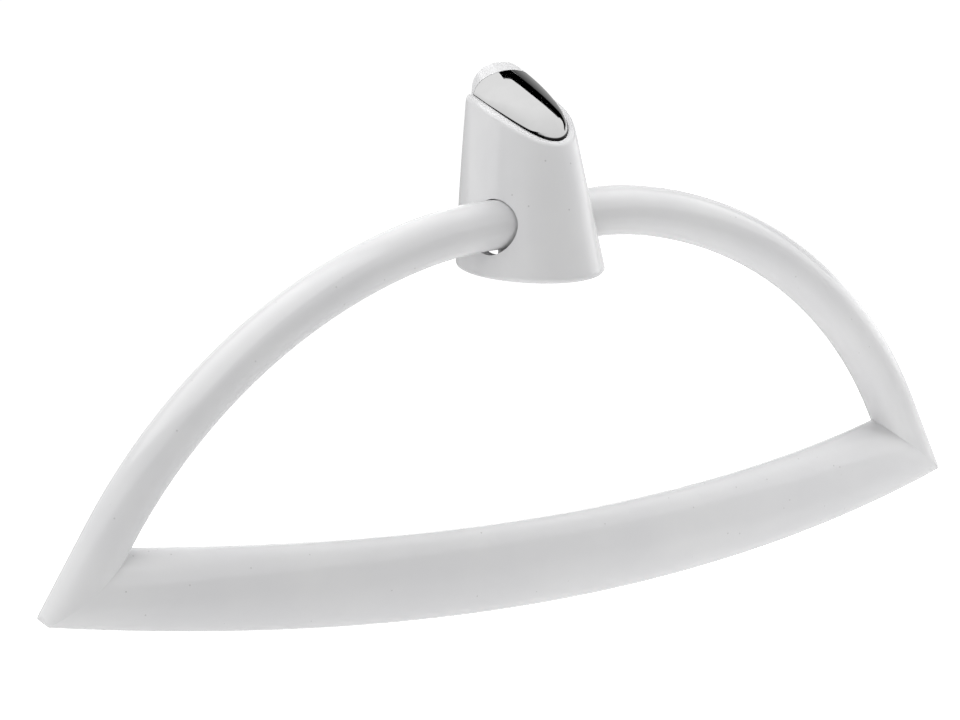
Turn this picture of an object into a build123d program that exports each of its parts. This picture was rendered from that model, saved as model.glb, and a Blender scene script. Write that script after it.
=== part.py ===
from build123d import *
from math import atan2, cos, degrees, hypot, radians, sin, sqrt, tan
import os

# Towel ring: a hollow moulded post with a chromed crown, a swinging moulded ring and a hidden wall plate.
# Millimetres. The wall is the plane Y = 0 and the object stands on its -Y side, +X is to the right and
# +Z is up. The origin lies on the wall, midway between the two wall screws.

# Turning axis of the ring
stand_off = 16.0              # from the wall
axis_drop = 7.5               # below the middle of the two wall screws

# Post: an oval taper that leans back, cut flat by the wall
foot_drop = 11.7              # foot below the turning axis
foot_half_width = 15.35
foot_half_depth = 18.75
foot_centre = 12.5            # middle of the oval from the wall
foot_edge_radius = 1.0
head_rise = 36.0              # upper oval above the turning axis, higher than the crown
head_half_width = 8.1
head_half_depth = 14.2
head_centre = 5.05
post_wall = 2.0
post_floor = 2.0
drain_gap = 5.0               # floor stops this far from the wall

# Slanted rim: a gently bowed cut, straight across the post
rim_back_rise = 26.4          # above the turning axis, at the wall
rim_front_rise = 18.8         # above the turning axis, at the reach below
rim_reach = 22.0
rim_bow_radius = 60.0
rim_edge_radius = 1.3

# Crown: a vault that is bowed both ways, standing inside the rim
crown_side_inset = 1.75       # rim's outer edge to the crown, at the sides
crown_nose_inset = 1.0        # and at the nose
crown_rise = 32.6             # above the turning axis, at the wall
crown_slope = 18.0            # degrees below level, at the wall
crown_length_radius = 80.0
crown_cross_radius = 12.0
crown_shoulder_radius = 4.0
crown_back_foot = 1.0         # white part behind the inlay, at the rim
crown_back_lean = 27.0        # degrees that the white part's front leans forward
crown_roof = 1.8              # wall left under the inlay
inlay_depth = 0.8             # seat below the rim
inlay_gap = 0.1
inlay_peg_radius = 2.0
inlay_peg_reach = 11.0        # from the wall
inlay_peg_length = 4.0        # below the inlay's seat

# Ring: round arms that straighten into a mitred corner, and an oval hanging bar
tube_diameter = 11.0
arm_journal = 13.75           # straight length each side of the post's middle
arm_upper_radius = 82.0
arm_upper_turn = 12.7         # degrees
arm_corner_run = 12.1         # straight length into the corner
bar_half_span = 112.8         # post's middle to the corner
corner_drop = 68.9            # corner below the turning axis
bar_mid_height = 20.2
bar_end_height = 16.2
bar_sag = 4.9                 # middle below the corners
bar_bow = 16.5                # middle in front of the corners
tip_radius = 1.8
tip_ease = 0.05               # rounding stands this far proud of the arm and the bar
arm_end_chamfer = 0.8

# Fit of the ring in the post
journal_hole_radius = 6.1
journal_hole_drop = 0.4       # hole's centre below the turning axis
web_thickness = 3.0           # centre web between the two arm ends
web_rise = 7.5                # web's top above the turning axis
web_setback = 11.6            # web's back edge from the wall
arm_end_play = 0.4

# Wall plate, with a bevelled top edge and a tongue below
plate_thickness = 4.0
plate_width = 14.0
plate_corner_radius = 2.0
plate_top_rise = 20.0         # above the turning axis, at the front
plate_bottom_drop = 6.5       # below the turning axis
plate_bevel = 2.5
tongue_width = 8.0
tongue_thickness = 2.5
tongue_reach = 10.0           # from the wall
screw_spacing = 14.0
screw_hole_radius = 2.0
screw_head_radius = 3.6
screw_head_angle = 90.0

# Lip on the post that hooks behind the plate's bevel
lip_width = 11.0
lip_gap = 0.3

# Set screw under the post
set_screw_radius = 2.0
set_screw_gap = 0.05
set_screw_recess = 0.3        # end above the foot
set_screw_reach = 7.0         # from the wall
set_screw_boss_radius = 4.0
set_screw_boss_gap = 0.7      # boss to the plate's tongue
set_screw_tip_chamfer = 0.6
hex_key_across_flats = 2.0
hex_key_depth = 2.0

# Heights and places that follow from the sizes above
tube_radius = tube_diameter / 2
axis_height = -axis_drop
foot_height = axis_height - foot_drop
head_height = axis_height + head_rise
floor_height = foot_height + post_floor
plate_top = axis_height + plate_top_rise
plate_bottom = axis_height - plate_bottom_drop
web_top = axis_height + web_rise
arm_end = web_thickness / 2 + arm_end_play
post_reach = foot_centre + foot_half_depth
post_height = head_height - foot_height


def post_taper(side_inset, depth_inset, set_back):
    """The post's oval taper from foot to head, drawn in and moved back towards the wall."""
    with BuildPart() as taper:
        with BuildSketch(Plane.XY.offset(foot_height)):
            with Locations((0, set_back - foot_centre)):
                Ellipse(foot_half_width - side_inset, foot_half_depth - depth_inset)
        with BuildSketch(Plane.XY.offset(head_height)):
            with Locations((0, set_back - head_centre)):
                Ellipse(head_half_width - side_inset, head_half_depth - depth_inset)
        loft()
    return taper.part


def under_rim(depth):
    """Everything under the rim's bowed cut, lowered by depth."""
    chord = hypot(rim_reach, rim_back_rise - rim_front_rise)
    to_centre = sqrt(rim_bow_radius**2 - (chord / 2) ** 2)
    centre_reach = rim_reach / 2 - to_centre * (rim_back_rise - rim_front_rise) / chord
    centre_rise = (rim_back_rise + rim_front_rise) / 2 - to_centre * rim_reach / chord
    with BuildPart() as drum:
        with Locations((0, -centre_reach, axis_height + centre_rise)):
            Cylinder(rim_bow_radius - depth, 2 * foot_half_width, rotation=(0, 90, 0))
    return drum.part


def under_crown():
    """Everything under the crown's vault: a drum with a rounded rim, lying across the post."""
    slope = radians(crown_slope)
    centre_reach = -crown_length_radius * sin(slope)
    centre_height = axis_height + crown_rise - crown_length_radius * cos(slope)
    drum_radius = crown_length_radius - crown_cross_radius
    with BuildPart() as vault:
        with Locations((0, -centre_reach, centre_height)):
            Cylinder(drum_radius, 2 * crown_cross_radius, rotation=(0, 90, 0))
            Torus(drum_radius, crown_cross_radius, rotation=(0, 90, 0))
    return vault.part


def before(plane):
    """Everything that the post can fill on the plane's outer side."""
    with BuildPart() as block:
        with Locations(plane):
            Box(4 * post_height, 4 * post_height, 4 * post_height, align=(Align.CENTER, Align.CENTER, Align.MIN))
    return block.part


def peg_form(gap):
    """The inlay's upright peg, grown by gap all round, from its lower end upwards."""
    with BuildPart() as peg:
        with Locations((0, -inlay_peg_reach, axis_height)):
            Cylinder(inlay_peg_radius + gap, head_rise, align=(Align.CENTER, Align.CENTER, Align.MIN))
        add(under_rim(inlay_depth + inlay_peg_length + gap), mode=Mode.SUBTRACT)
    return peg.part


# Forms that the post and the inlay share
back_lean = radians(crown_back_lean)
crown_back_plane = Plane(
    origin=(0, -crown_back_foot, axis_height + rim_back_rise),
    x_dir=(1, 0, 0),
    z_dir=(0, -cos(back_lean), -sin(back_lean)),
)
before_wall = before(Plane.XZ)
before_crown_back = before(crown_back_plane)
before_inlay_back = before(crown_back_plane.offset(inlay_gap))
inlay_seat = under_rim(inlay_depth + inlay_gap)
roof_underside = under_rim(inlay_depth + inlay_gap + crown_roof)

# Crown: the vault over a smaller taper, with rounded shoulders, and the recess around it
recess = post_taper(crown_side_inset - inlay_gap, 0, crown_nose_inset - inlay_gap)
with BuildPart() as crown:
    add(post_taper(crown_side_inset, 0, crown_nose_inset))
    add(under_crown(), mode=Mode.INTERSECT)
    add(before_wall, mode=Mode.INTERSECT)
    shoulder_edges = faces().filter_by(GeomType.TORUS).edges()
    fillet(shoulder_edges.filter_by(lambda edge: edge.center().Y < -crown_back_foot), crown_shoulder_radius)

# Hollow of the post, open at the back and behind the floor
with BuildPart() as hollow:
    add(post_taper(post_wall, post_wall, 0))
    add(roof_underside, mode=Mode.INTERSECT)
    with Locations((0, -post_reach, floor_height)):
        Box(4 * foot_half_width, 4 * post_reach, post_height,
            align=(Align.CENTER, Align.CENTER, Align.MIN), mode=Mode.INTERSECT)

# Gap behind the floor, inside the post's wall
with BuildPart() as drain:
    add(post_taper(post_wall, post_wall, 0))
    with Locations((0, -drain_gap, foot_height)):
        Box(4 * foot_half_width, 2 * post_reach, 2 * post_floor,
            align=(Align.CENTER, Align.MIN, Align.CENTER), mode=Mode.INTERSECT)

# Web that keeps the two arm ends apart, from the nose of the post backwards
with BuildPart() as web:
    add(post_taper(post_wall / 2, post_wall / 2, 0))
    with Locations((0, -web_setback, floor_height - post_floor / 2)):
        Box(web_thickness, 2 * post_reach, web_top - floor_height + post_floor / 2,
            align=(Align.CENTER, Align.MAX, Align.MIN), mode=Mode.INTERSECT)

# Lip that hooks behind the plate's bevelled top edge
with BuildPart() as lip:
    with BuildSketch(Plane.YZ):
        with BuildLine():
            bevel_rise = plate_bevel * lip_gap / plate_thickness
            Polyline(
                (-lip_gap, plate_top - plate_bevel + bevel_rise + lip_gap),
                (-plate_thickness, plate_top + lip_gap),
                (-plate_thickness, head_height),
                (-lip_gap, head_height),
                close=True,
            )
        make_face()
    extrude(amount=lip_width / 2, both=True)
    add(under_rim(inlay_depth + inlay_gap + crown_roof / 2), mode=Mode.INTERSECT)

# Post cover: one hollow moulding with the white back of the crown
with BuildPart() as post_cover:
    add(post_taper(0, 0, 0))
    add(before_wall, mode=Mode.INTERSECT)
    add(under_rim(0), mode=Mode.INTERSECT)
    rim_edges = faces().filter_by(GeomType.CYLINDER).edges()
    fillet(rim_edges.filter_by(lambda edge: edge.center().Y < -post_wall), rim_edge_radius)
    foot_edges = faces().sort_by(Axis.Z)[0].edges()
    fillet(foot_edges.filter_by(lambda edge: edge.center().Y < -post_wall), foot_edge_radius)
    add(crown.part - roof_underside)
    add((recess & before_crown_back) - inlay_seat, mode=Mode.SUBTRACT)
    add(hollow.part, mode=Mode.SUBTRACT)
    add(drain.part, mode=Mode.SUBTRACT)
    with Locations((0, -stand_off, axis_height - journal_hole_drop)):
        Cylinder(journal_hole_radius, 4 * foot_half_width, rotation=(0, 90, 0), mode=Mode.SUBTRACT)
    add(web.part)
    add(lip.part)
    with Locations((0, -set_screw_reach, foot_height)):
        Cylinder(set_screw_boss_radius, plate_bottom - set_screw_boss_gap - foot_height,
                 align=(Align.CENTER, Align.CENTER, Align.MIN))
        Cylinder(set_screw_radius + set_screw_gap, post_height, mode=Mode.SUBTRACT)
    add(peg_form(inlay_gap), mode=Mode.SUBTRACT)

# Crown inlay: a chromed shield with a peg through the post's roof
with BuildPart() as crown_inlay:
    add(crown.part)
    add(before_inlay_back, mode=Mode.INTERSECT)
    add(under_rim(inlay_depth), mode=Mode.SUBTRACT)
    add(peg_form(0) & under_crown())

# Wall plate: bevelled top, tongue below, two countersunk holes
with BuildPart() as wall_plate:
    with BuildSketch(Plane.YZ):
        with BuildLine():
            Polyline(
                (0, plate_bottom),
                (0, plate_top - plate_bevel),
                (-plate_thickness, plate_top),
                (-plate_thickness, plate_bottom),
                close=True,
            )
        make_face()
    extrude(amount=plate_width / 2, both=True)
    corner_edges = edges().filter_by(Axis.Y)
    fillet(corner_edges, plate_corner_radius)
    with Locations((0, -tongue_reach, plate_bottom)):
        Box(tongue_width, tongue_reach, tongue_thickness, align=(Align.CENTER, Align.MIN, Align.MIN))
    with Locations(Plane.XZ.offset(plate_thickness)):
        with GridLocations(0, screw_spacing, 1, 2):
            CounterSinkHole(screw_hole_radius, screw_head_radius, counter_sink_angle=screw_head_angle)

# Set screw: a headless screw whose tip bears on the plate's tongue
with BuildPart() as set_screw:
    set_screw_length = plate_bottom - foot_height - set_screw_recess
    with Locations((0, -set_screw_reach, foot_height + set_screw_recess)):
        Cylinder(set_screw_radius, set_screw_length, align=(Align.CENTER, Align.CENTER, Align.MIN))
    chamfer(edges().sort_by(Axis.Z)[-1], set_screw_tip_chamfer)
    with BuildSketch(Plane.XY.offset(foot_height + set_screw_recess)):
        with Locations((0, -set_screw_reach)):
            RegularPolygon(hex_key_across_flats / 2, 6, major_radius=False)
    extrude(amount=hex_key_depth, mode=Mode.SUBTRACT)

# Ring, drawn upright about its turning axis: the lower arc that joins the upper arc to the corner's run
upper_turn = radians(arm_upper_turn)
to_corner = (
    bar_half_span - arm_journal - arm_upper_radius * sin(upper_turn),
    corner_drop - arm_upper_radius * (1 - cos(upper_turn)),
)
corner_along = to_corner[0] * cos(upper_turn) + to_corner[1] * sin(upper_turn)
corner_aside = to_corner[1] * cos(upper_turn) - to_corner[0] * sin(upper_turn)
lower_turn = 2 * atan2(corner_aside, corner_along + arm_corner_run)
arm_lower_radius = (corner_aside / sin(lower_turn) - arm_corner_run) / tan(lower_turn / 2)
corner_turn = upper_turn + lower_turn

# Mitre: the plane in which the round arm and the oval bar have one and the same section
bar_end_rise = atan2(2 * bar_sag, bar_half_span)
corner_angle = corner_turn + bar_end_rise
arm_share = atan2(
    tube_radius * sin(corner_angle), bar_end_height / 2 + tube_radius * cos(corner_angle)
)
mitre_turn = corner_turn - arm_share
mitre_half_length = tube_radius / sin(arm_share)
mitre_planes = {
    side: Plane(
        origin=(side * bar_half_span, 0, -corner_drop),
        x_dir=(0, 1, 0),
        z_dir=(sin(mitre_turn), 0, side * cos(mitre_turn)),
    )
    for side in (-1, 1)
}
bar_middle = Plane(origin=(0, -bar_bow, -corner_drop - bar_sag), x_dir=(0, 1, 0), z_dir=(1, 0, 0))

# What the rounding takes off the right tip, between the outer line of the arm and the lowest line of the bar
tip_reach = bar_half_span + mitre_half_length * cos(mitre_turn)
tip_drop = corner_drop + mitre_half_length * sin(mitre_turn)
bar_under_rise = atan2(2 * (corner_drop + bar_sag + bar_mid_height / 2 - tip_drop), tip_reach)
tip_half_angle = (corner_turn + bar_under_rise) / 2
tip_turn = corner_turn - tip_half_angle
tip_plane = Plane(
    origin=(tip_reach, 0, -tip_drop),
    x_dir=(0, 1, 0),
    z_dir=(-cos(tip_turn), 0, sin(tip_turn)),
)
with BuildPart() as tip_waste:
    with Locations(tip_plane):
        Box(4 * tube_radius, 4 * tube_radius, 2 * tip_radius * cos(tip_half_angle) / tan(tip_half_angle))
    with Locations(tip_plane.offset((tip_radius - tip_ease) / sin(tip_half_angle))):
        Cylinder(tip_radius, 4 * tube_radius, rotation=(0, 90, 0), mode=Mode.SUBTRACT)

with BuildPart() as ring:
    with BuildLine(Plane.XZ) as arm_path:
        Line((arm_end, 0), (arm_journal, 0))
        upper = JernArc((arm_journal, 0), (1, 0), arm_upper_radius, -arm_upper_turn)
        lower = JernArc(upper @ 1, upper % 1, arm_lower_radius, -degrees(lower_turn))
        Line(lower @ 1, lower @ 1 + (lower % 1) * (arm_corner_run + mitre_half_length))
    with BuildSketch(Plane(origin=(arm_end, 0, 0), z_dir=(1, 0, 0))):
        Circle(tube_radius)
    sweep()
    with Locations(mitre_planes[1]):
        Box(4 * tube_radius, 4 * mitre_half_length, 4 * mitre_half_length,
            align=(Align.CENTER, Align.CENTER, Align.MAX), mode=Mode.SUBTRACT)
    chamfer(faces().sort_by(Axis.X)[0].edges(), arm_end_chamfer)
    mirror(about=Plane.YZ)
    with BuildSketch(mitre_planes[-1]):
        Ellipse(tube_radius, mitre_half_length)
    with BuildSketch(bar_middle):
        Ellipse(tube_radius, bar_mid_height / 2)
    with BuildSketch(mitre_planes[1]):
        Ellipse(tube_radius, mitre_half_length)
    loft()
    add(tip_waste.part, mode=Mode.SUBTRACT)
    add(tip_waste.part.mirror(Plane.YZ), mode=Mode.SUBTRACT)

# The ring hangs with its weight straight below the turning axis
balance = ring.part.center(CenterOf.MASS)
hang_angle = degrees(atan2(balance.Y, balance.Z)) % 180
hung_ring = Pos(0, -stand_off, axis_height) * Rot(hang_angle, 0, 0) * ring.part

pieces = {
    "post_cover": post_cover.part,
    "crown_inlay": crown_inlay.part,
    "wall_plate": wall_plate.part,
    "set_screw": set_screw.part,
    "ring": hung_ring,
}
os.makedirs("parts", exist_ok=True)
for name, piece in pieces.items():
    piece.label = name
    export_step(piece, f"parts/{name}.step")
print("lower arc radius", round(arm_lower_radius, 2), "hang angle", round(hang_angle, 3))
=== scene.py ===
"""Towel ring: finishes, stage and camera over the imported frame."""
from math import cos, radians, sin

import bpy
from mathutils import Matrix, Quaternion, Vector


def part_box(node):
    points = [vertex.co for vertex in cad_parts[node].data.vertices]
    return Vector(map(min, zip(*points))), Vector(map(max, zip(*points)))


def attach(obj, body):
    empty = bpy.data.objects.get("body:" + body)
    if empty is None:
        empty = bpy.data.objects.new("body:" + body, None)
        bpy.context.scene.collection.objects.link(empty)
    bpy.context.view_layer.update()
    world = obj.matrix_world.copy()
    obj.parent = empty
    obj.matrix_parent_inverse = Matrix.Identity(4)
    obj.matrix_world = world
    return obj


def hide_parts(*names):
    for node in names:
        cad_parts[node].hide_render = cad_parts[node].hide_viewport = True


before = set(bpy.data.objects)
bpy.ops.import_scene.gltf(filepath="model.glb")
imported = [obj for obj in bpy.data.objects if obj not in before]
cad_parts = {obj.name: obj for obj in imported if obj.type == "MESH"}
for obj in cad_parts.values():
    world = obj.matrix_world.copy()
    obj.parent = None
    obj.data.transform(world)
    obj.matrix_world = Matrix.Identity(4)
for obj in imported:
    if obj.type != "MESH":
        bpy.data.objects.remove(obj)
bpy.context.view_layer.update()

bl_info = {
    "name": "Towel Ring",
    "version": (1, 0, 0),
    "blender": (4, 5, 0),
    "location": "3D View > Sidebar > Towel Ring",
    "description": "Finishes, stage and camera for a moulded towel ring",
    "category": "Object",
}


class TowelRingFinishes(bpy.types.PropertyGroup):
    """Colours and surface sizes of the four finishes."""

    white_colour: bpy.props.FloatVectorProperty(
        name="White", description="Gloss moulding", subtype="COLOR", size=4, min=0.0, max=1.0,
        default=(0.80, 0.80, 0.805, 1.0))
    white_shade: bpy.props.FloatVectorProperty(
        name="White Shade", description="Faint clouds in the gloss moulding", subtype="COLOR", size=4, min=0.0,
        max=1.0, default=(0.77, 0.77, 0.78, 1.0))
    speck_colour: bpy.props.FloatVectorProperty(
        name="Specks", description="Few fine specks in the mouldings", subtype="COLOR", size=4, min=0.0, max=1.0,
        default=(0.62, 0.62, 0.62, 1.0))
    plate_colour: bpy.props.FloatVectorProperty(
        name="Plate", description="Matt moulding of the hidden wall plate", subtype="COLOR", size=4, min=0.0,
        max=1.0, default=(0.56, 0.565, 0.57, 1.0))
    plate_shade: bpy.props.FloatVectorProperty(
        name="Plate Shade", description="Clouds in the matt moulding", subtype="COLOR", size=4, min=0.0, max=1.0,
        default=(0.50, 0.505, 0.51, 1.0))
    chrome_colour: bpy.props.FloatVectorProperty(
        name="Chrome", description="Plating of the crown inlay", subtype="COLOR", size=4, min=0.0, max=1.0,
        default=(0.727, 0.727, 0.727, 1.0))
    chrome_haze: bpy.props.FloatVectorProperty(
        name="Chrome Haze", description="Slightly duller patches of the plating", subtype="COLOR", size=4, min=0.0,
        max=1.0, default=(0.687, 0.687, 0.687, 1.0))
    # Painted shade: a dark line painted on the inlay's foot, with its widths at the back and at the nose, stands
    # in for the shadow in the groove where the inlay drops into the rim
    painted_shadow_colour: bpy.props.FloatVectorProperty(
        name="Seam", description="Dark line where the inlay drops into the rim", subtype="COLOR", size=4, min=0.0,
        max=1.0, default=(0.012, 0.012, 0.012, 1.0))
    painted_shadow_back: bpy.props.FloatProperty(
        name="Seam at Back", description="Width of the dark line at the back", unit="LENGTH", precision=5, min=0.0,
        default=0.00012)
    painted_shadow_nose: bpy.props.FloatProperty(
        name="Seam at Nose", description="Width of the dark line at the nose", unit="LENGTH", precision=5, min=0.0,
        default=0.00055)
    steel_colour: bpy.props.FloatVectorProperty(
        name="Steel", description="Set screw", subtype="COLOR", size=4, min=0.0, max=1.0,
        default=(0.50, 0.50, 0.50, 1.0))
    steel_haze: bpy.props.FloatVectorProperty(
        name="Steel Haze", description="Dull patches of the set screw", subtype="COLOR", size=4, min=0.0, max=1.0,
        default=(0.38, 0.375, 0.37, 1.0))
    peel_size: bpy.props.FloatProperty(
        name="Peel Size", description="Width of the waves in the gloss skin", unit="LENGTH", min=0.0002,
        default=0.0022)
    peel_depth: bpy.props.FloatProperty(
        name="Peel Depth", description="Depth of the waves in the gloss skin", unit="LENGTH", min=0.0,
        default=0.000003)
    grain_size: bpy.props.FloatProperty(
        name="Grain Size", description="Width of the eroded grain on the matt plate", unit="LENGTH", min=0.0001,
        default=0.0004)
    grain_depth: bpy.props.FloatProperty(
        name="Grain Depth", description="Depth of the eroded grain on the matt plate", unit="LENGTH", min=0.0,
        default=0.00003)


class TowelRingThread(bpy.types.PropertyGroup):
    """Fine thread of the set screw, whose outer size comes from its CAD node."""

    pitch: bpy.props.FloatProperty(
        name="Pitch", description="Rise of the thread in one turn", unit="LENGTH", precision=5, min=0.0002,
        default=0.0007)
    depth: bpy.props.FloatProperty(
        name="Depth", description="Height of the thread's ridge", unit="LENGTH", precision=5, min=0.0,
        default=0.00035)
    plain_tip: bpy.props.FloatProperty(
        name="Plain Tip", description="Length without thread at the pointed end", unit="LENGTH", precision=5,
        min=0.0, default=0.0008)
    turn_steps: bpy.props.IntProperty(
        name="Steps", description="Straight steps in one turn of the thread", min=8, default=40)


class TowelRingStage(bpy.types.PropertyGroup):
    """Floor, lamps and camera."""

    floor_height: bpy.props.FloatProperty(
        name="Floor Height", description="Height of the floor in the frame", unit="LENGTH", default=-0.32)
    floor_size: bpy.props.FloatProperty(
        name="Floor Size", description="Length of the floor's side", unit="LENGTH", min=1.0, default=8.0)
    floor_colour: bpy.props.FloatVectorProperty(
        name="Floor", description="Pale floor", subtype="COLOR", size=4, min=0.0, max=1.0,
        default=(0.82, 0.82, 0.82, 1.0))
    view_target: bpy.props.FloatVectorProperty(
        name="Target", description="Point that the camera looks at", subtype="TRANSLATION", size=3, precision=4,
        default=(-0.014676, -0.014137, -0.037800))
    view_azimuth: bpy.props.FloatProperty(
        name="Azimuth", description="Camera's turn about the vertical", unit="ROTATION",
        default=radians(-35.057))
    view_elevation: bpy.props.FloatProperty(
        name="Elevation", description="Camera's height angle", unit="ROTATION", default=radians(12.837))
    view_roll: bpy.props.FloatProperty(
        name="Roll", description="Camera's turn about its own line of sight", unit="ROTATION",
        default=radians(0.144))
    view_distance: bpy.props.FloatProperty(
        name="Distance", description="Camera to target", unit="LENGTH", default=1.142803)
    view_lens: bpy.props.FloatProperty(
        name="Lens", description="Focal length for a frame 36 mm wide", unit="CAMERA", default=195.0)
    room_light: bpy.props.FloatProperty(
        name="Room Light", description="Strength of the even light from all sides", min=0.0, default=0.36)
    left_power: bpy.props.FloatProperty(
        name="Left Light", description="Soft box on the left", unit="POWER", min=0.0, default=2.33)
    back_power: bpy.props.FloatProperty(
        name="Back Light", description="Soft box above, towards the back", unit="POWER", min=0.0, default=3.86)
    right_power: bpy.props.FloatProperty(
        name="Right Light", description="Soft box high on the right", unit="POWER", min=0.0, default=5.57)
    front_power: bpy.props.FloatProperty(
        name="Front Light", description="Small soft box low in front", unit="POWER", min=0.0, default=0.32)
    top_gloss_power: bpy.props.FloatProperty(
        name="Top Gloss", description="Highlight along the tops of the mouldings", unit="POWER", min=0.0,
        default=5.8)
    right_gloss_power: bpy.props.FloatProperty(
        name="Right Gloss", description="Highlight along the right edges of the mouldings", unit="POWER", min=0.0,
        default=1.0)


# Patterns of the skins: cells or waves in a metre, and the part of each noise that is stretched to full contrast
cloud_scale, cloud_range = 38.0, (0.38, 0.62)
handling_scale, handling_range = 120.0, (0.35, 0.65)
haze_range = (0.40, 0.70)

# Specks: cells in a metre, a speck's reach in its cell, and the share of cells without one
speck_scale, speck_reach, speck_rarity = 500.0, 0.10, 0.85

# Depth of the polishing waves in the plating, and of the turning marks on the set screw with their stretch
polish_depth = 0.000002
turning_depth, turning_stretch = 0.000006, (0.4, 0.4, 12.0)

# The post's rim is bowed about this line along X: its Y and Z, and the bow's radius
rim_bow_middle = (0.008219, -0.040534)
rim_bow_radius = 0.060

# Painted shadow line at the inlay's foot: Y at the crown's back and nose, its soft edge, and the faint painted
# shade that fades out above it, both in widths of the line
painted_shadow_ends = (-0.006, -0.024)
painted_shadow_edge = (0.75, 1.15)
painted_shade_fade, painted_shade_fade_depth = (1.0, 8.0), 0.16

# Thread: widths of its ridge as shares of the pitch, and the turn that points the crest outwards
ridge_foot_share, ridge_crest_share = 0.86, 0.14
ridge_turn = radians(90.0)

# Points that the lamps are aimed at and that the cards are bent round
lamp_aim = Vector((0.0, -0.02, -0.03))
crown_middle = Vector((0.0, -0.012, 0.018))

# Floor: distances from the frame's origin between which its glow for the camera grows, and the glow there
glow_reach, floor_glow = (0.40, 0.75), (0.40, 0.75)

# Cards in the chrome's reflections: azimuth, and the height angles of the lower and upper edge, in degrees
front_card_columns = (
    (-110, -26, 9), (-80, -27, 12), (-50, -28, 14), (-20, -28, 15), (5, -28, 14), (35, -28, 11), (70, -26, 4),
)
black_card_columns = (
    (90, 3, 9), (97, 3, 15), (104, 3, 22), (108, 5, 31), (111, 8, 42), (114, 12, 47), (117, 18, 50),
    (121, 30, 52), (126, 35, 53), (131, 36, 54), (142, 36, 62),
)
grey_card_columns = ((108, 0, 5), (114, 0, 12), (117, 0, 18), (121, 0, 30), (126, 0, 35), (142, 0, 36))

# A Mix node's two colour inputs and its colour output, which share their names with its other sockets
mix_first, mix_second, mix_result = 6, 7, 2

white_mouldings = ("ring", "post_cover")
white = (1.0, 1.0, 1.0, 1.0)


def add_node(tree, kind, place, **settings):
    """A node of a tree, placed and set."""
    node = tree.nodes.new(kind)
    node.location = place
    for name, value in settings.items():
        setattr(node, name, value)
    return node


def math_node(tree, operation, place, first, second):
    """A Math node whose two inputs are sockets or numbers."""
    node = add_node(tree, "ShaderNodeMath", place, operation=operation)
    for socket, value in zip(node.inputs, (first, second)):
        if isinstance(value, bpy.types.NodeSocket):
            tree.links.new(value, socket)
        else:
            socket.default_value = value
    return node.outputs[0]


def noise_node(tree, place, vector, scale, detail, roughness=0.5):
    """A noise pattern's value."""
    node = add_node(tree, "ShaderNodeTexNoise", place)
    tree.links.new(vector, node.inputs["Vector"])
    if isinstance(scale, bpy.types.NodeSocket):
        tree.links.new(scale, node.inputs["Scale"])
    else:
        node.inputs["Scale"].default_value = scale
    node.inputs["Detail"].default_value = detail
    node.inputs["Roughness"].default_value = roughness
    return node.outputs["Fac"]


def spread(tree, place, value, low, high, to_low, to_high):
    """A value stretched from one range to another and held inside it."""
    node = add_node(tree, "ShaderNodeMapRange", place, clamp=True)
    tree.links.new(value, node.inputs["Value"])
    for name, limit in (("From Min", low), ("From Max", high), ("To Min", to_low), ("To Max", to_high)):
        if isinstance(limit, bpy.types.NodeSocket):
            tree.links.new(limit, node.inputs[name])
        else:
            node.inputs[name].default_value = limit
    return node.outputs["Result"]


def mix_colours(tree, place, mask, first, second):
    """The first colour where the mask is 0 and the second where it is 1."""
    node = add_node(tree, "ShaderNodeMix", place, data_type="RGBA")
    tree.links.new(mask, node.inputs["Factor"])
    tree.links.new(first, node.inputs[mix_first])
    tree.links.new(second, node.inputs[mix_second])
    return node.outputs[mix_result]


def start_group(name, inputs, outputs):
    """A shader node group with named sockets, and its input and output nodes."""
    group = bpy.data.node_groups.new(name, "ShaderNodeTree")
    for label, kind, value in inputs:
        socket = group.interface.new_socket(label, in_out="INPUT", socket_type=kind)
        if value is not None:
            socket.default_value = value
    for label, kind in outputs:
        group.interface.new_socket(label, in_out="OUTPUT", socket_type=kind)
    entry = add_node(group, "NodeGroupInput", (-1200, 0))
    leave = add_node(group, "NodeGroupOutput", (700, 0))
    return group, entry.outputs, leave.inputs


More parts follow.
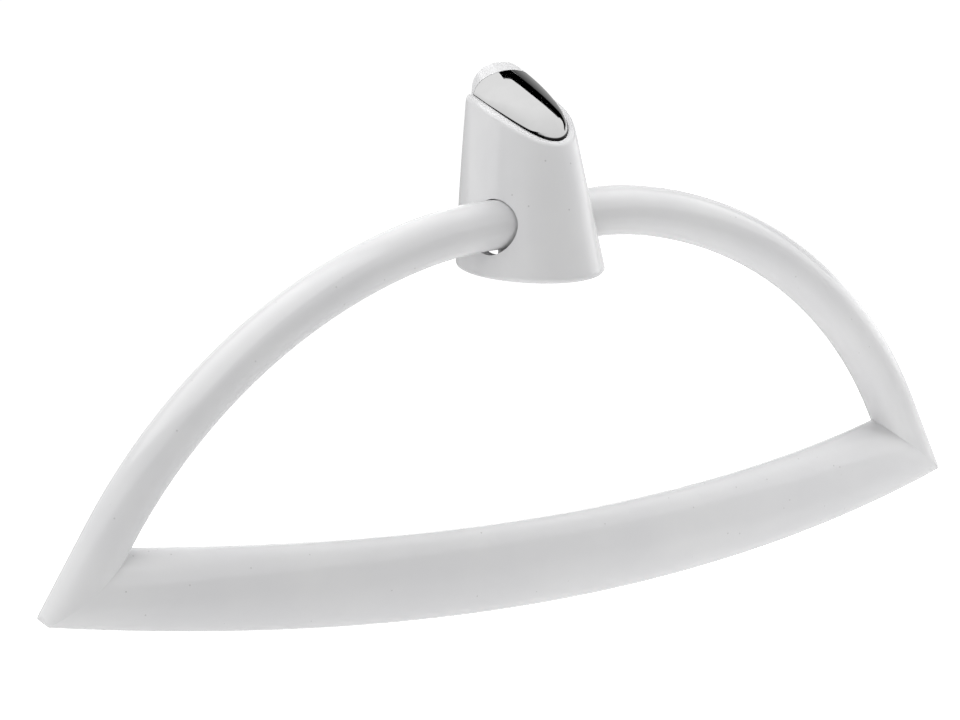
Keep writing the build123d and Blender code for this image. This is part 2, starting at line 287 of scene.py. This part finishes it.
def moulded_skin():
    """Moulded plastic: faint clouds, few specks, uneven gloss and a waved or grained skin."""
    group, given, result = start_group(
        "moulded_skin",
        (
            ("Vector", "NodeSocketVector", None),
            ("Colour", "NodeSocketColor", (0.8, 0.8, 0.8, 1.0)),
            ("Shade", "NodeSocketColor", (0.75, 0.75, 0.75, 1.0)),
            ("Speck", "NodeSocketColor", (0.4, 0.4, 0.4, 1.0)),
            ("Skin Scale", "NodeSocketFloat", 500.0),
            ("Gloss Low", "NodeSocketFloat", 0.2),
            ("Gloss High", "NodeSocketFloat", 0.3),
        ),
        (("Colour", "NodeSocketColor"), ("Roughness", "NodeSocketFloat"), ("Height", "NodeSocketFloat")),
    )
    vector = given["Vector"]
    drift = noise_node(group, (-800, 400), vector, cloud_scale, 3.0)
    clouds = spread(group, (-500, 400), drift, *cloud_range, 0.0, 1.0)
    base = mix_colours(group, (-200, 400), clouds, given["Colour"], given["Shade"])

    cells = add_node(group, "ShaderNodeTexVoronoi", (-800, 100), feature="F1")
    cells.inputs["Scale"].default_value = speck_scale
    group.links.new(vector, cells.inputs["Vector"])
    chosen = add_node(group, "ShaderNodeSeparateColor", (-600, 100))
    group.links.new(cells.outputs["Color"], chosen.inputs["Color"])
    near = math_node(group, "LESS_THAN", (-400, 180), cells.outputs["Distance"], speck_reach)
    rare = math_node(group, "GREATER_THAN", (-400, 20), chosen.outputs["Red"], speck_rarity)
    specks = math_node(group, "MULTIPLY", (-200, 100), near, rare)
    coloured = mix_colours(group, (200, 300), specks, base, given["Speck"])
    group.links.new(coloured, result["Colour"])

    handled = noise_node(group, (-800, -200), vector, handling_scale, 4.0, 0.6)
    gloss = spread(group, (-400, -200), handled, *handling_range, given["Gloss Low"], given["Gloss High"])
    group.links.new(gloss, result["Roughness"])
    group.links.new(noise_node(group, (-400, -500), vector, given["Skin Scale"], 2.0), result["Height"])
    return group


def metal_skin():
    """Bare or plated metal: duller patches and a fine uneven polish."""
    group, given, result = start_group(
        "metal_skin",
        (
            ("Vector", "NodeSocketVector", None),
            ("Colour", "NodeSocketColor", (0.7, 0.7, 0.7, 1.0)),
            ("Haze", "NodeSocketColor", (0.6, 0.6, 0.6, 1.0)),
            ("Haze Scale", "NodeSocketFloat", 180.0),
            ("Skin Scale", "NodeSocketFloat", 400.0),
            ("Polish Low", "NodeSocketFloat", 0.03),
            ("Polish High", "NodeSocketFloat", 0.08),
        ),
        (("Colour", "NodeSocketColor"), ("Roughness", "NodeSocketFloat"), ("Height", "NodeSocketFloat")),
    )
    vector = given["Vector"]
    patches = noise_node(group, (-800, 300), vector, given["Haze Scale"], 4.0, 0.6)
    haze = spread(group, (-400, 300), patches, *haze_range, 0.0, 1.0)
    group.links.new(mix_colours(group, (0, 300), haze, given["Colour"], given["Haze"]), result["Colour"])
    polish = spread(group, (0, 0), haze, 0.0, 1.0, given["Polish Low"], given["Polish High"])
    group.links.new(polish, result["Roughness"])
    group.links.new(noise_node(group, (-400, -300), vector, given["Skin Scale"], 2.0), result["Height"])
    return group


def shared_group(name, make):
    """The group of that name, made the first time it is asked for."""
    return bpy.data.node_groups.get(name) or make()


def surface_material(name, group, values, bump_depth, stretch=(1.0, 1.0, 1.0)):
    """A Principled material on object coordinates whose colour, roughness and relief come from a group."""
    material = bpy.data.materials.new(name)
    material.use_nodes = True
    tree = material.node_tree
    tree.nodes.clear()
    place = add_node(tree, "ShaderNodeTexCoord", (-900, 0))
    turned = add_node(tree, "ShaderNodeMapping", (-700, 0))
    turned.inputs["Scale"].default_value = stretch
    skin = add_node(tree, "ShaderNodeGroup", (-450, 0), node_tree=group)
    relief = add_node(tree, "ShaderNodeBump", (-200, -250))
    shader = add_node(tree, "ShaderNodeBsdfPrincipled", (50, 0))
    output = add_node(tree, "ShaderNodeOutputMaterial", (400, 0))
    for label, value in values.items():
        skin.inputs[label].default_value = value
    relief.inputs["Strength"].default_value = 1.0
    relief.inputs["Distance"].default_value = bump_depth
    tree.links.new(place.outputs["Object"], turned.inputs["Vector"])
    tree.links.new(turned.outputs["Vector"], skin.inputs["Vector"])
    tree.links.new(skin.outputs["Colour"], shader.inputs["Base Color"])
    tree.links.new(skin.outputs["Roughness"], shader.inputs["Roughness"])
    tree.links.new(skin.outputs["Height"], relief.inputs["Height"])
    tree.links.new(relief.outputs["Normal"], shader.inputs["Normal"])
    tree.links.new(shader.outputs["BSDF"], output.inputs["Surface"])
    return material, shader


def gloss_white():
    """White gloss moulding, shared by the ring and the post."""
    made = bpy.data.materials.get("gloss_white")
    if made:
        return made
    finishes = bpy.context.scene.towel_ring_finishes
    material, shader = surface_material(
        "gloss_white",
        shared_group("moulded_skin", moulded_skin),
        {
            "Colour": finishes.white_colour,
            "Shade": finishes.white_shade,
            "Speck": finishes.speck_colour,
            "Skin Scale": 1.0 / finishes.peel_size,
            "Gloss Low": 0.10,
            "Gloss High": 0.15,
        },
        finishes.peel_depth,
    )
    shader.inputs["IOR"].default_value = 1.53
    return material


def dress(node_name, material):
    """Give a CAD node its finish."""
    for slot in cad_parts[node_name].material_slots:
        slot.material = material


class TOWELRING_OT_mouldings(bpy.types.Operator):
    """Finish the ring and the post in white gloss moulding"""

    bl_idname = "towel_ring.mouldings"
    bl_label = "Finish Ring and Post"

    def execute(self, context):
        for node_name in white_mouldings:
            dress(node_name, gloss_white())
        return {"FINISHED"}


class TOWELRING_OT_crown(bpy.types.Operator):
    """Finish the crown inlay in chrome"""

    bl_idname = "towel_ring.crown"
    bl_label = "Finish Crown Inlay"

    def execute(self, context):
        finishes = context.scene.towel_ring_finishes
        material, shader = surface_material(
            "chrome_plating",
            shared_group("metal_skin", metal_skin),
            {
                "Colour": finishes.chrome_colour,
                "Haze": finishes.chrome_haze,
                "Haze Scale": 160.0,
                "Skin Scale": 260.0,
                "Polish Low": 0.03,
                "Polish High": 0.06,
            },
            polish_depth,
        )
        shader.inputs["Metallic"].default_value = 1.0
        # Paints a shadow line and a faint shade into the plating's colour at the inlay's foot
        self.paint_shadow_line(material.node_tree, shader, finishes)
        dress("crown_inlay", material)
        return {"FINISHED"}

    def paint_shadow_line(self, tree, shader, finishes):
        """Paint shade on the foot of the inlay, where it drops into the rim: a dark painted shadow line that
        widens towards the nose, and a faint painted shade fading out above it.
        """
        place = add_node(tree, "ShaderNodeTexCoord", (-900, 600))
        parts = add_node(tree, "ShaderNodeSeparateXYZ", (-700, 600))
        tree.links.new(place.outputs["Object"], parts.inputs["Vector"])
        y, z = parts.outputs["Y"], parts.outputs["Z"]
        across = math_node(tree, "SUBTRACT", (-500, 700), y, rim_bow_middle[0])
        along = math_node(tree, "SUBTRACT", (-500, 550), z, rim_bow_middle[1])
        squared = math_node(
            tree, "ADD", (-100, 650),
            math_node(tree, "MULTIPLY", (-300, 700), across, across),
            math_node(tree, "MULTIPLY", (-300, 550), along, along),
        )
        above_rim = math_node(
            tree, "SUBTRACT", (300, 650), math_node(tree, "SQRT", (100, 650), squared, 0.0), rim_bow_radius
        )
        width = spread(tree, (100, 450), y, *painted_shadow_ends, finishes.painted_shadow_back, finishes.painted_shadow_nose)
        share = math_node(tree, "DIVIDE", (500, 600), above_rim, width)
        # Painted shadow: full dark in the line itself, and a faint painted shade fading out above it
        painted_shadow = math_node(
            tree, "MAXIMUM", (900, 700),
            spread(tree, (700, 700), share, *painted_shadow_edge, 1.0, 0.0),
            spread(tree, (700, 450), share, *painted_shade_fade, painted_shade_fade_depth, 0.0),
        )
        shade = add_node(tree, "ShaderNodeRGB", (500, 400))
        shade.outputs[0].default_value = finishes.painted_shadow_colour
        plating = shader.inputs["Base Color"].links[0].from_socket
        darkened = mix_colours(tree, (1100, 500), painted_shadow, plating, shade.outputs[0])
        tree.links.new(darkened, shader.inputs["Base Color"])


class TOWELRING_OT_wall_plate(bpy.types.Operator):
    """Finish the hidden wall plate in matt moulding"""

    bl_idname = "towel_ring.wall_plate"
    bl_label = "Finish Wall Plate"

    def execute(self, context):
        finishes = context.scene.towel_ring_finishes
        plate, _ = surface_material(
            "matt_plate",
            shared_group("moulded_skin", moulded_skin),
            {
                "Colour": finishes.plate_colour,
                "Shade": finishes.plate_shade,
                "Speck": finishes.plate_shade,
                "Skin Scale": 1.0 / finishes.grain_size,
                "Gloss Low": 0.50,
                "Gloss High": 0.62,
            },
            finishes.grain_depth,
        )
        dress("wall_plate", plate)
        return {"FINISHED"}


def thread_tree():
    """Geometry Nodes that wind a helical ridge round the core that they are given."""
    tree = bpy.data.node_groups.new("screw_thread", "GeometryNodeTree")
    tree.is_modifier = True
    sockets = (
        ("Core", "NodeSocketGeometry"), ("Start", "NodeSocketVector"), ("Core Radius", "NodeSocketFloat"),
        ("Length", "NodeSocketFloat"), ("Pitch", "NodeSocketFloat"), ("Depth", "NodeSocketFloat"),
        ("Turn Steps", "NodeSocketInt"), ("Material", "NodeSocketMaterial"),
    )
    for label, kind in sockets:
        tree.interface.new_socket(label, in_out="INPUT", socket_type=kind)
    tree.interface.new_socket("Screw", in_out="OUTPUT", socket_type="NodeSocketGeometry")
    given = add_node(tree, "NodeGroupInput", (-1200, 0)).outputs
    result = add_node(tree, "NodeGroupOutput", (1000, 0)).inputs

    helix = add_node(tree, "GeometryNodeCurveSpiral", (-700, 200))
    turns = math_node(tree, "DIVIDE", (-950, 300), given["Length"], given["Pitch"])
    half_depth = math_node(tree, "MULTIPLY", (-950, 0), given["Depth"], 0.5)
    ridge_middle = math_node(tree, "ADD", (-950, 150), given["Core Radius"], half_depth)
    for label, value in (
        ("Resolution", given["Turn Steps"]), ("Rotations", turns), ("Start Radius", ridge_middle),
        ("End Radius", ridge_middle), ("Height", given["Length"]),
    ):
        tree.links.new(value, helix.inputs[label])
    upright = add_node(tree, "GeometryNodeSetCurveNormal", (-450, 200), mode="Z_UP")
    tree.links.new(helix.outputs["Curve"], upright.inputs["Curve"])

    ridge = add_node(tree, "GeometryNodeCurvePrimitiveQuadrilateral", (-450, -100), mode="TRAPEZOID")
    foot_width = math_node(tree, "MULTIPLY", (-700, -100), given["Pitch"], ridge_foot_share)
    crest_width = math_node(tree, "MULTIPLY", (-700, -250), given["Pitch"], ridge_crest_share)
    for label, value in (("Height", given["Depth"]), ("Bottom Width", foot_width), ("Top Width", crest_width)):
        tree.links.new(value, ridge.inputs[label])
    ridge.inputs["Offset"].default_value = 0.0
    turned = add_node(tree, "GeometryNodeTransform", (-200, -100))
    turned.inputs["Rotation"].default_value = (0.0, 0.0, ridge_turn)
    tree.links.new(ridge.outputs["Curve"], turned.inputs["Geometry"])

    wound = add_node(tree, "GeometryNodeCurveToMesh", (0, 100))
    wound.inputs["Fill Caps"].default_value = True
    tree.links.new(upright.outputs["Curve"], wound.inputs["Curve"])
    tree.links.new(turned.outputs["Geometry"], wound.inputs["Profile Curve"])
    placed = add_node(tree, "GeometryNodeTransform", (200, 100))
    tree.links.new(wound.outputs["Mesh"], placed.inputs["Geometry"])
    tree.links.new(given["Start"], placed.inputs["Translation"])
    joined = add_node(tree, "GeometryNodeJoinGeometry", (400, 0))
    tree.links.new(given["Core"], joined.inputs["Geometry"])
    tree.links.new(placed.outputs["Geometry"], joined.inputs["Geometry"])
    realised = add_node(tree, "GeometryNodeRealizeInstances", (600, 0))
    tree.links.new(joined.outputs["Geometry"], realised.inputs["Geometry"])
    painted = add_node(tree, "GeometryNodeSetMaterial", (800, 0))
    tree.links.new(realised.outputs["Geometry"], painted.inputs["Geometry"])
    tree.links.new(given["Material"], painted.inputs["Material"])
    tree.links.new(painted.outputs["Geometry"], result["Screw"])
    return tree


class TOWELRING_OT_set_screw(bpy.types.Operator):
    """Give the set screw its fine thread and a steel finish"""

    bl_idname = "towel_ring.set_screw"
    bl_label = "Thread Set Screw"

    def execute(self, context):
        finishes = context.scene.towel_ring_finishes
        thread = context.scene.towel_ring_thread
        steel, shader = surface_material(
            "turned_steel",
            shared_group("metal_skin", metal_skin),
            {
                "Colour": finishes.steel_colour,
                "Haze": finishes.steel_haze,
                "Haze Scale": 900.0,
                "Skin Scale": 700.0,
                "Polish Low": 0.28,
                "Polish High": 0.42,
            },
            turning_depth,
            turning_stretch,
        )
        shader.inputs["Metallic"].default_value = 1.0
        dress("set_screw", steel)

        low, high = (Vector(corner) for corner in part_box("set_screw"))
        middle = (low + high) / 2
        core_radius = (high.x - low.x) / 2 - thread.depth
        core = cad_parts["set_screw"].data.copy()
        core.name = "threaded_set_screw"
        for vertex in core.vertices:
            outwards = Vector((vertex.co.x - middle.x, vertex.co.y - middle.y, 0.0))
            if outwards.length > core_radius:
                vertex.co -= outwards * (1.0 - core_radius / outwards.length)

        screw = bpy.data.objects.new("threaded_set_screw", core)
        context.scene.collection.objects.link(screw)
        winding = screw.modifiers.new("screw_thread", "NODES")
        winding.node_group = thread_tree()
        half_ridge = thread.pitch / 2
        values = {
            "Start": (middle.x, middle.y, low.z + half_ridge),
            "Core Radius": core_radius,
            "Length": high.z - low.z - thread.plain_tip - half_ridge,
            "Pitch": thread.pitch,
            "Depth": thread.depth,
            "Turn Steps": thread.turn_steps,
            "Material": steel,
        }
        for socket in winding.node_group.interface.items_tree:
            if socket.name in values:
                winding[socket.identifier] = values[socket.name]
        screw.update_tag()
        context.view_layer.update()
        evaluated = screw.evaluated_get(context.evaluated_depsgraph_get())
        threaded = bpy.data.meshes.new_from_object(evaluated)
        screw.modifiers.remove(winding)
        screw.data = threaded
        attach(screw, "bracket")
        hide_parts("set_screw")
        return {"FINISHED"}


def seen_rays(tree, place):
    """1 for rays that show a surface to the camera, straight or by reflection or through glass."""
    path = add_node(tree, "ShaderNodeLightPath", place)
    straight = math_node(
        tree, "MAXIMUM", (place[0] + 200, place[1]), path.outputs["Is Camera Ray"], path.outputs["Is Glossy Ray"]
    )
    return math_node(tree, "MAXIMUM", (place[0] + 400, place[1]), straight, path.outputs["Is Transmission Ray"])


def direction(azimuth, elevation):
    """The direction at a turn from the front and a height angle."""
    return Vector((sin(azimuth) * cos(elevation), -cos(azimuth) * cos(elevation), sin(elevation)))


def soft_box(name, azimuth, elevation, distance, width, height, power):
    """A rectangular soft lamp, aimed at the object from angles in degrees, whose own shape isn't mirrored."""
    light = bpy.data.lights.new(name, "AREA")
    light.shape = "RECTANGLE"
    light.size = width
    light.size_y = height
    light.energy = power
    lamp = bpy.data.objects.new(name, light)
    outwards = direction(radians(azimuth), radians(elevation))
    lamp.location = lamp_aim + outwards * distance
    lamp.rotation_mode = "QUATERNION"
    lamp.rotation_quaternion = outwards.to_track_quat("Z", "Y")
    lamp.visible_glossy = False
    bpy.context.scene.collection.objects.link(lamp)
    return lamp


def gloss_box(name, azimuth, elevation, distance, width, height, power):
    """A soft lamp that only shows as a highlight on the white mouldings."""
    lamp = soft_box(name, azimuth, elevation, distance, width, height, power)
    lamp.visible_glossy = True
    lamp.visible_diffuse = False
    mouldings = bpy.data.collections.new(name + "_receivers")
    for node_name in white_mouldings:
        mouldings.objects.link(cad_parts[node_name])
    lamp.light_linking.receiver_collection = mouldings


def mirrored_card(name, columns, distance, low_shade, high_shade):
    """A bent card round the crown that only reflections show, shaded from its lowest to its highest point."""
    points = [
        crown_middle + direction(radians(azimuth), radians(elevation)) * distance
        for azimuth, *edges in columns
        for elevation in edges
    ]
    mesh = bpy.data.meshes.new(name)
    mesh.from_pydata(points, [], [(2 * i, 2 * i + 2, 2 * i + 3, 2 * i + 1) for i in range(len(columns) - 1)])
    card = bpy.data.objects.new(name, mesh)
    bpy.context.scene.collection.objects.link(card)
    material = bpy.data.materials.new(name)
    material.use_nodes = True
    tree = material.node_tree
    tree.nodes.clear()
    place = add_node(tree, "ShaderNodeTexCoord", (-800, 0))
    parts = add_node(tree, "ShaderNodeSeparateXYZ", (-600, 0))
    tree.links.new(place.outputs["Object"], parts.inputs["Vector"])
    heights = [point.z for point in points]
    shade = spread(tree, (-400, 0), parts.outputs["Z"], min(heights), max(heights), low_shade, high_shade)
    paint = add_node(tree, "ShaderNodeEmission", (-100, 0))
    tree.links.new(shade, paint.inputs["Strength"])
    output = add_node(tree, "ShaderNodeOutputMaterial", (150, 0))
    tree.links.new(paint.outputs["Emission"], output.inputs["Surface"])
    mesh.materials.append(material)
    card.visible_camera = False
    card.visible_diffuse = False
    card.visible_shadow = False


class TOWELRING_OT_stage(bpy.types.Operator):
    """Build the floor, the lamps, the white surround and the camera"""

    bl_idname = "towel_ring.stage"
    bl_label = "Build Stage"

    def execute(self, context):
        scene = context.scene
        stage = scene.towel_ring_stage
        scene.view_settings.view_transform = "Standard"
        self.lay_floor(scene, stage)
        self.light_room(scene, stage)
        self.set_lamps(stage)
        self.set_camera(scene, stage)
        return {"FINISHED"}

    def lay_floor(self, scene, stage):
        """Lay a pale floor that glows for the camera, less so under the object, and is clear from below."""
        half = stage.floor_size / 2
        corners = [(x * half, y * half, stage.floor_height) for x, y in ((-1, -1), (1, -1), (1, 1), (-1, 1))]
        mesh = bpy.data.meshes.new("floor")
        mesh.from_pydata(corners, [], [(0, 1, 2, 3)])
        floor = bpy.data.objects.new("floor", mesh)
        scene.collection.objects.link(floor)
        material = bpy.data.materials.new("pale_floor")
        material.use_nodes = True
        tree = material.node_tree
        tree.nodes.clear()
        paint = add_node(tree, "ShaderNodeBsdfDiffuse", (0, 100))
        paint.inputs["Color"].default_value = stage.floor_colour
        glow = add_node(tree, "ShaderNodeEmission", (0, -100))
        place = add_node(tree, "ShaderNodeTexCoord", (-1200, -400))
        away = add_node(tree, "ShaderNodeVectorMath", (-1000, -400), operation="LENGTH")
        tree.links.new(place.outputs["Object"], away.inputs[0])
        lift = spread(tree, (-800, -400), away.outputs["Value"], *glow_reach, *floor_glow)
        path = add_node(tree, "ShaderNodeLightPath", (-500, -100))
        seen_glow = math_node(tree, "MULTIPLY", (-200, -100), path.outputs["Is Camera Ray"], lift)
        tree.links.new(seen_glow, glow.inputs["Strength"])
        both = add_node(tree, "ShaderNodeAddShader", (250, 0))
        side = add_node(tree, "ShaderNodeNewGeometry", (-500, 300))
        from_below = math_node(
            tree, "MULTIPLY", (250, 250), side.outputs["Backfacing"], path.outputs["Is Camera Ray"]
        )
        clear = add_node(tree, "ShaderNodeBsdfTransparent", (250, -200))
        chosen = add_node(tree, "ShaderNodeMixShader", (450, 0))
        output = add_node(tree, "ShaderNodeOutputMaterial", (650, 0))
        tree.links.new(paint.outputs["BSDF"], both.inputs[0])
        tree.links.new(glow.outputs["Emission"], both.inputs[1])
        tree.links.new(from_below, chosen.inputs["Fac"])
        tree.links.new(both.outputs["Shader"], chosen.inputs[1])
        tree.links.new(clear.outputs["BSDF"], chosen.inputs[2])
        tree.links.new(chosen.outputs["Shader"], output.inputs["Surface"])
        mesh.materials.append(material)

    def light_room(self, scene, stage):
        """Surround the object with even light that looks white where it is seen."""
        world = bpy.data.worlds.new("white_room")
        scene.world = world
        world.use_nodes = True
        tree = world.node_tree
        tree.nodes.clear()
        room = add_node(tree, "ShaderNodeBackground", (0, 100))
        room.inputs["Color"].default_value = white
        room.inputs["Strength"].default_value = stage.room_light
        surround = add_node(tree, "ShaderNodeBackground", (0, -100))
        surround.inputs["Color"].default_value = white
        chosen = add_node(tree, "ShaderNodeMixShader", (250, 0))
        output = add_node(tree, "ShaderNodeOutputWorld", (450, 0))
        tree.links.new(seen_rays(tree, (-700, 200)), chosen.inputs["Fac"])
        tree.links.new(room.outputs["Background"], chosen.inputs[1])
        tree.links.new(surround.outputs["Background"], chosen.inputs[2])
        tree.links.new(chosen.outputs["Shader"], output.inputs["Surface"])

    def set_lamps(self, stage):
        """Set the soft boxes, the highlights on the mouldings and the cards that the chrome mirrors."""
        soft_box("left_light", -80.0, 12.0, distance=0.8, width=0.5, height=0.5, power=stage.left_power)
        soft_box("back_light", 180.0, 60.0, distance=0.9, width=0.8, height=0.6, power=stage.back_power)
        soft_box("right_light", 85.0, 50.0, distance=0.9, width=0.6, height=0.6, power=stage.right_power)
        soft_box("front_light", 40.0, -28.0, distance=0.38, width=0.3, height=0.2, power=stage.front_power)
        gloss_box("top_gloss", -80.0, 66.0, distance=0.8, width=1.5, height=0.75, power=stage.top_gloss_power)
        gloss_box("right_gloss", 118.0, 8.0, distance=0.8, width=1.0, height=0.8, power=stage.right_gloss_power)
        mirrored_card("front_card", front_card_columns, distance=0.62, low_shade=0.30, high_shade=0.0)
        mirrored_card("black_card", black_card_columns, distance=0.60, low_shade=0.0, high_shade=0.0)
        mirrored_card("grey_card", grey_card_columns, distance=0.61, low_shade=0.45, high_shade=0.06)

    def set_camera(self, scene, stage):
        """Set the camera where the photograph was taken from."""
        back = direction(stage.view_azimuth, stage.view_elevation)
        lens = bpy.data.cameras.new("photo_camera")
        lens.sensor_fit = "HORIZONTAL"
        lens.sensor_width = 36.0
        lens.lens = stage.view_lens
        lens.clip_end = 50.0
        camera = bpy.data.objects.new("photo_camera", lens)
        camera.location = Vector(stage.view_target) + back * stage.view_distance
        camera.rotation_mode = "QUATERNION"
        camera.rotation_quaternion = back.to_track_quat("Z", "Y") @ Quaternion((0, 0, 1), stage.view_roll)
        scene.collection.objects.link(camera)
        scene.camera = camera


class TOWELRING_PT_panel(bpy.types.Panel):
    """Sizes, colours and steps of the towel ring"""

    bl_idname = "TOWELRING_PT_panel"
    bl_label = "Towel Ring"
    bl_space_type = "VIEW_3D"
    bl_region_type = "UI"
    bl_category = "Towel Ring"

    def draw(self, context):
        scene = context.scene
        for group in (scene.towel_ring_finishes, scene.towel_ring_thread, scene.towel_ring_stage):
            box = self.layout.box()
            for name in group.__annotations__:
                box.prop(group, name)
        for step in steps:
            self.layout.operator(step.bl_idname)


steps = (
    TOWELRING_OT_mouldings,
    TOWELRING_OT_crown,
    TOWELRING_OT_wall_plate,
    TOWELRING_OT_set_screw,
    TOWELRING_OT_stage,
)
classes = (TowelRingFinishes, TowelRingThread, TowelRingStage, *steps, TOWELRING_PT_panel)


def register():
    """Register the classes and give the scene its settings."""
    for cls in classes:
        bpy.utils.register_class(cls)
    bpy.types.Scene.towel_ring_finishes = bpy.props.PointerProperty(type=TowelRingFinishes)
    bpy.types.Scene.towel_ring_thread = bpy.props.PointerProperty(type=TowelRingThread)
    bpy.types.Scene.towel_ring_stage = bpy.props.PointerProperty(type=TowelRingStage)


def unregister():
    """Take the settings and the classes out again."""
    del bpy.types.Scene.towel_ring_stage
    del bpy.types.Scene.towel_ring_thread
    del bpy.types.Scene.towel_ring_finishes
    for cls in reversed(classes):
        bpy.utils.unregister_class(cls)


def main():
    """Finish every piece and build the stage."""
    register()
    bpy.ops.towel_ring.mouldings()
    bpy.ops.towel_ring.crown()
    bpy.ops.towel_ring.wall_plate()
    bpy.ops.towel_ring.set_screw()
    bpy.ops.towel_ring.stage()


if __name__ == "__main__":
    main()
